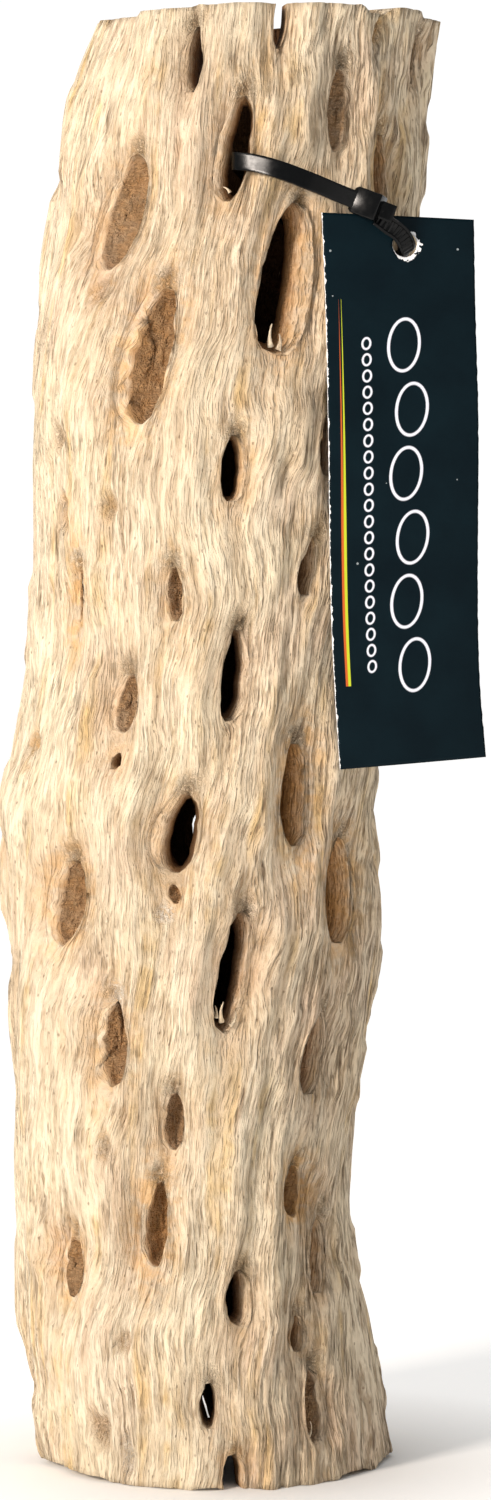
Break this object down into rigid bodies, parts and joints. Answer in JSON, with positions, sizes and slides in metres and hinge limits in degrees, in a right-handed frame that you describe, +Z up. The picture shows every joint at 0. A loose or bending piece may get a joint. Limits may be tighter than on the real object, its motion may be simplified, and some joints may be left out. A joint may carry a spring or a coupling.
{
  "type": "cholla cactus skeleton",
  "caption": "Upright hollow length of cholla cactus wood whose strands part round long holes, with a nylon tie through two of the holes holding a blank card tag.",
  "frame": {"origin": "on the surface that the piece stands on, under the middle of its bounding box", "axes": "+Z up along the tube, -Y out of the side with the tag, +X to the right as that side is seen"},
  "size_m": [0.084, 0.069, 0.254],
  "materials": {
    "cholla_wood": "dry, bare, pale tan wood with fine dark grain lines, browner inside the holes",
    "black_nylon": "smooth black nylon",
    "black_card": "black coated card with a white paper core at its cut edges"
  },
  "bodies": {
    "root": {"cholla_skeleton": "cholla_wood", "cable_tie": "black_nylon", "hang_tag": "black_card"}
  },
  "joints": []
}
